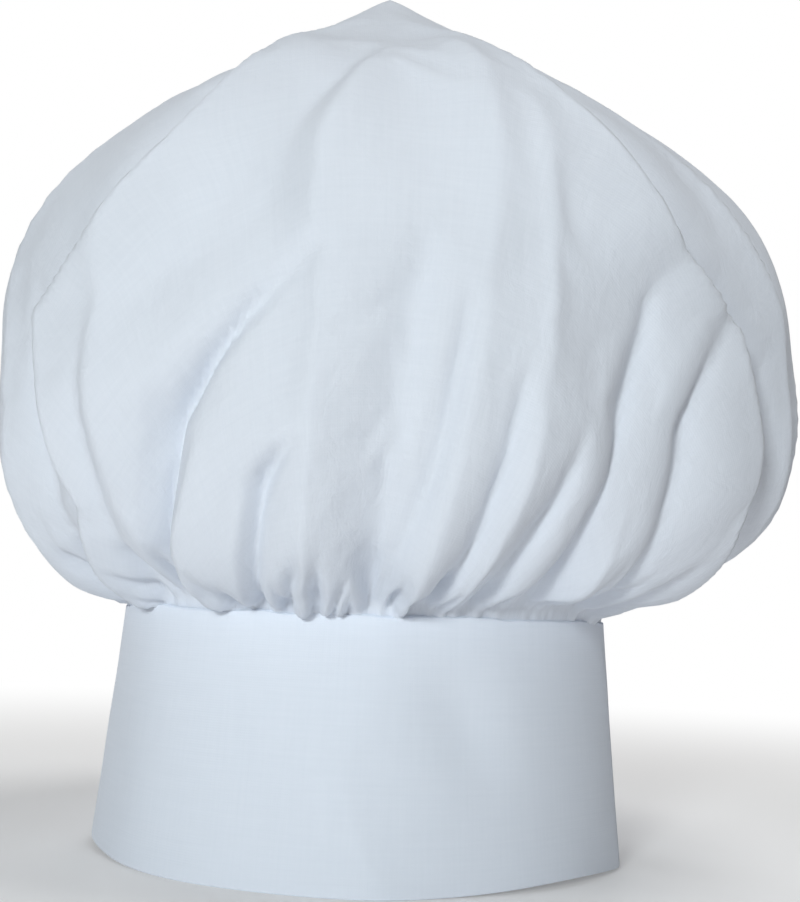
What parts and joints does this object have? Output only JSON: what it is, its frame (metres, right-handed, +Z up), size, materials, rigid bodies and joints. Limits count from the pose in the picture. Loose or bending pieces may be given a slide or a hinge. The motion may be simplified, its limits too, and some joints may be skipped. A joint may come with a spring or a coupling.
{
  "type": "chef toque",
  "caption": "Tall soft cooking hat: a puffed crown gathered into a stiffened flared band that closes at the back with a touch-tape tab.",
  "frame": {"origin": "centre of the band's lower edge, on the surface that the hat stands on", "axes": "+Z up towards the crown's peak, front of the hat towards -Y, closure tab at the back towards +Y, wearer's left towards +X"},
  "size_m": [0.298, 0.298, 0.3232],
  "materials": {
    "poplin": "matte",
    "stiffener": "matte",
    "binding": "matte",
    "thread": "satin",
    "hook_tape": "satin",
    "loop_tape": "matte",
    "label": "satin"
  },
  "bodies": {
    "toque": {"crown": "poplin", "band_cloth": "poplin", "band_stiffener": "stiffener", "loop_tape": "loop_tape", "vent_binding": "binding", "vent_bartack": "thread", "loop_tape_stitching": "thread", "underlap_stitching": "thread", "crown_seam_stitching": "thread", "gathering_thread": "thread"},
    "tab": {"closure_tab": "poplin", "tab_stiffener": "stiffener", "hook_tape": "hook_tape", "hook_tape_stitching": "thread", "tab_edge_stitching": "thread"},
    "label": {"care_label": "label"}
  },
  "joints": [
    {"name": "tab_peel", "type": "hinge", "parent": "toque", "child": "tab", "pos_m": [0.01718, 0.09745, 0], "axis": [0.0141, 0.0799, -0.9967], "range_deg": [0, 110]},
    {"name": "label_flip", "type": "hinge", "parent": "toque", "child": "label", "pos_m": [0.04596, 0.07355, 0.085], "axis": [-0.848, 0.5299, 0], "range_deg": [0, 120]}
  ]
}
